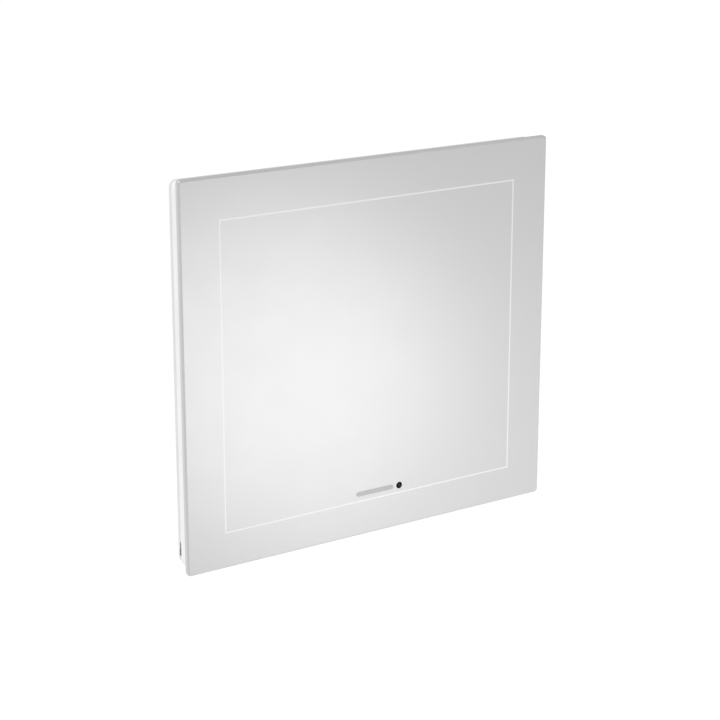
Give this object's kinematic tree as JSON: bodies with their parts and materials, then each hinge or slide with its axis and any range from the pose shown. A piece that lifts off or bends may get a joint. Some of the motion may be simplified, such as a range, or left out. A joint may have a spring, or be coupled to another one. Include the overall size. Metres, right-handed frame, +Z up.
{
  "type": "heat recovery unit",
  "caption": "Single-room heat recovery unit: flat gloss white cover with a rectangular line inlay, on a wall frame, with a round insert holding fan, ceramic heat store and filters.",
  "frame": {"origin": "on the insert's axis, in the plane of the wall's room face", "axes": "+X right as seen from the room, +Y into the wall along the insert, +Z up; the cover faces -Y"},
  "size_m": [0.42, 0.2339, 0.388],
  "materials": {
    "gloss_white": "high gloss, opal white",
    "line_white": "bright white, gloss",
    "badge_grey": "satin grey print",
    "lens_dark": "smoked, polished",
    "tape_grey": "foam tape",
    "shell_white": "moulded, fine satin",
    "frame_white": "moulded, satin",
    "foam_grey": "open-cell foam",
    "tube_grey": "extruded, satin",
    "steel": "zinc-plated steel",
    "black_plastic": "moulded, glass-filled",
    "switch_black": "satin",
    "filter_white": "non-woven fleece",
    "magnet": "ferrite",
    "bearing_steel": "polished",
    "lamination": "laminated steel",
    "copper": "enamelled copper",
    "ceramic": "extruded ceramic",
    "core_foam": "closed-cell foam",
    "felt": "coarse filter mat",
    "guard": "moulded",
    "pcb": "solder mask",
    "parts": "moulded cases",
    "terminal": "moulded green",
    "rubber": "EPDM"
  },
  "bodies": {
    "unit": {"catch_clips": "black_plastic", "wall_frame": "frame_white", "wall_seal": "rubber", "cable_grommet": "rubber", "switch_housing": "black_plastic", "insert_tube": "tube_grey", "flange_screws": "steel", "shutter_seat": "shell_white", "shutter_pivot": "black_plastic", "filter_cassette": "black_plastic", "filter_pleats": "filter_white", "fan_housing": "black_plastic", "bearings": "bearing_steel", "motor_stator": "lamination", "motor_windings": "copper", "ceramic_core": "ceramic", "core_sleeve": "core_foam", "outdoor_filter": "felt", "outdoor_guard": "guard", "control_box": "black_plastic", "control_lid": "black_plastic", "lid_screws": "steel", "control_board": "pcb", "board_parts": "parts", "terminal_block": "terminal"},
    "cover": {"front_plate": "gloss_white", "line_inlay": "line_white", "badge_bar": "badge_grey", "status_lens": "lens_dark", "bond_tape": "tape_grey", "cover_tray": "shell_white", "catch_studs": "shell_white", "acoustic_mat": "foam_grey"},
    "rotor": {"impeller": "black_plastic", "rotor_magnet": "magnet", "rotor_shaft": "bearing_steel"},
    "shutter": {"shutter_disc": "frame_white"},
    "slider": {"switch_slider": "switch_black"}
  },
  "joints": [
    {"name": "cover_lift_off", "type": "slide", "parent": "unit", "child": "cover", "axis": [0, -1, 0], "range_m": [0, 0.12]},
    {"name": "impeller_spin", "type": "hinge", "parent": "unit", "child": "rotor", "pos_m": [0, 0.05, 0], "axis": [0, 1, 0], "continuous": true},
    {"name": "shutter_turn", "type": "hinge", "parent": "unit", "child": "shutter", "pos_m": [0, -0.009, 0], "axis": [0, -1, 0], "range_deg": [0, 30]},
    {"name": "switch_slide", "type": "slide", "parent": "unit", "child": "slider", "axis": [0, 0, 1], "range_m": [0, 0.0072]}
  ]
}
